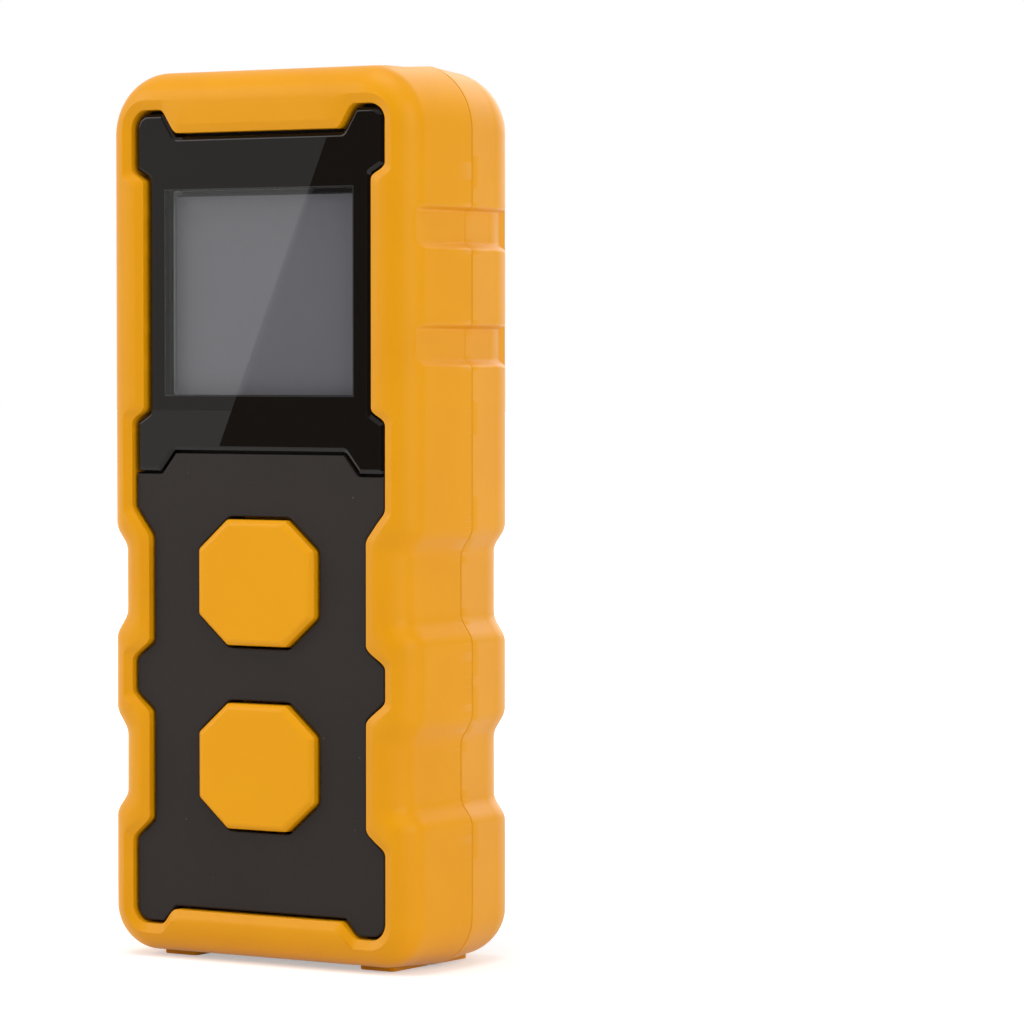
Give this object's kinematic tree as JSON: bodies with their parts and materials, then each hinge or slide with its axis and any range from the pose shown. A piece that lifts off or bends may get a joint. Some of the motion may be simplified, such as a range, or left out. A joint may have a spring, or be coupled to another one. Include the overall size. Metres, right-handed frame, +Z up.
{
  "type": "laser distance meter",
  "caption": "Pocket laser distance meter: split two-part case, inset panels, display window, eight-sided sprung keys, sockets in one end and a screwed, finger-grooved rear cover.",
  "frame": {"origin": "centre of the bottom of the bounding box, on the plane that the feet stand on", "axes": "+Z up the length towards the socket end, -Y out of the display, +X to the right of someone reading the display"},
  "size_m": [0.04, 0.024, 0.0939],
  "materials": {
    "case_orange": "satin moulded skin",
    "key_orange": "satin",
    "panel_charcoal": "fine matt grain",
    "cover_black": "fine matt grain",
    "port_black": "matt",
    "connector_black": "matt",
    "screen_glass": "polished",
    "gasket_black": "matt film",
    "display_grey": "smooth",
    "light_guide": "smooth",
    "switch_grey": "matt",
    "screw_black": "black plated",
    "socket_steel": "plated, bright edge",
    "board_green": "solder mask",
    "battery_foil": "foil pouch",
    "laser_brass": "turned",
    "laser_glass": "polished"
  },
  "bodies": {
    "case": {"front_shell": "case_orange", "rear_shell": "case_orange", "front_panel": "panel_charcoal", "rear_panel": "panel_charcoal", "screen_lens": "screen_glass", "lens_gasket": "gasket_black", "lcd_panel": "display_grey", "lcd_backlight": "light_guide", "upper_button_switch": "switch_grey", "lower_button_switch": "switch_grey", "rear_key_switch": "switch_grey", "battery_cover": "cover_black", "cover_screw_1": "screw_black", "cover_screw_2": "screw_black", "cover_screw_3": "screw_black", "cover_screw_4": "screw_black", "case_screw_1": "screw_black", "case_screw_2": "screw_black", "case_screw_3": "screw_black", "case_screw_4": "screw_black", "main_board": "board_green", "battery_pack": "battery_foil", "battery_connector": "connector_black", "buzzer": "connector_black", "laser_module": "laser_brass", "laser_window": "laser_glass", "port_panel": "port_black", "data_socket_shell": "socket_steel", "data_socket_tongue": "connector_black", "video_socket_shell": "socket_steel", "video_socket_tongue": "connector_black", "charge_socket_shell": "socket_steel", "charge_socket_tongue": "connector_black"},
    "upper_key": {"upper_button": "key_orange"},
    "lower_key": {"lower_button": "key_orange"},
    "back_key": {"rear_key": "cover_black"}
  },
  "joints": [
    {"name": "upper_button_press", "type": "slide", "parent": "case", "child": "upper_key", "axis": [0, 1, 0], "range_m": [0, 0.0005], "stiffness_N_per_m": 2000, "springref_m": -0.0005},
    {"name": "lower_button_press", "type": "slide", "parent": "case", "child": "lower_key", "axis": [0, 1, 0], "range_m": [0, 0.0005], "stiffness_N_per_m": 2000, "springref_m": -0.0005},
    {"name": "rear_key_press", "type": "slide", "parent": "case", "child": "back_key", "axis": [0, -1, 0], "range_m": [0, 0.0004], "stiffness_N_per_m": 2000, "springref_m": -0.0005}
  ]
}
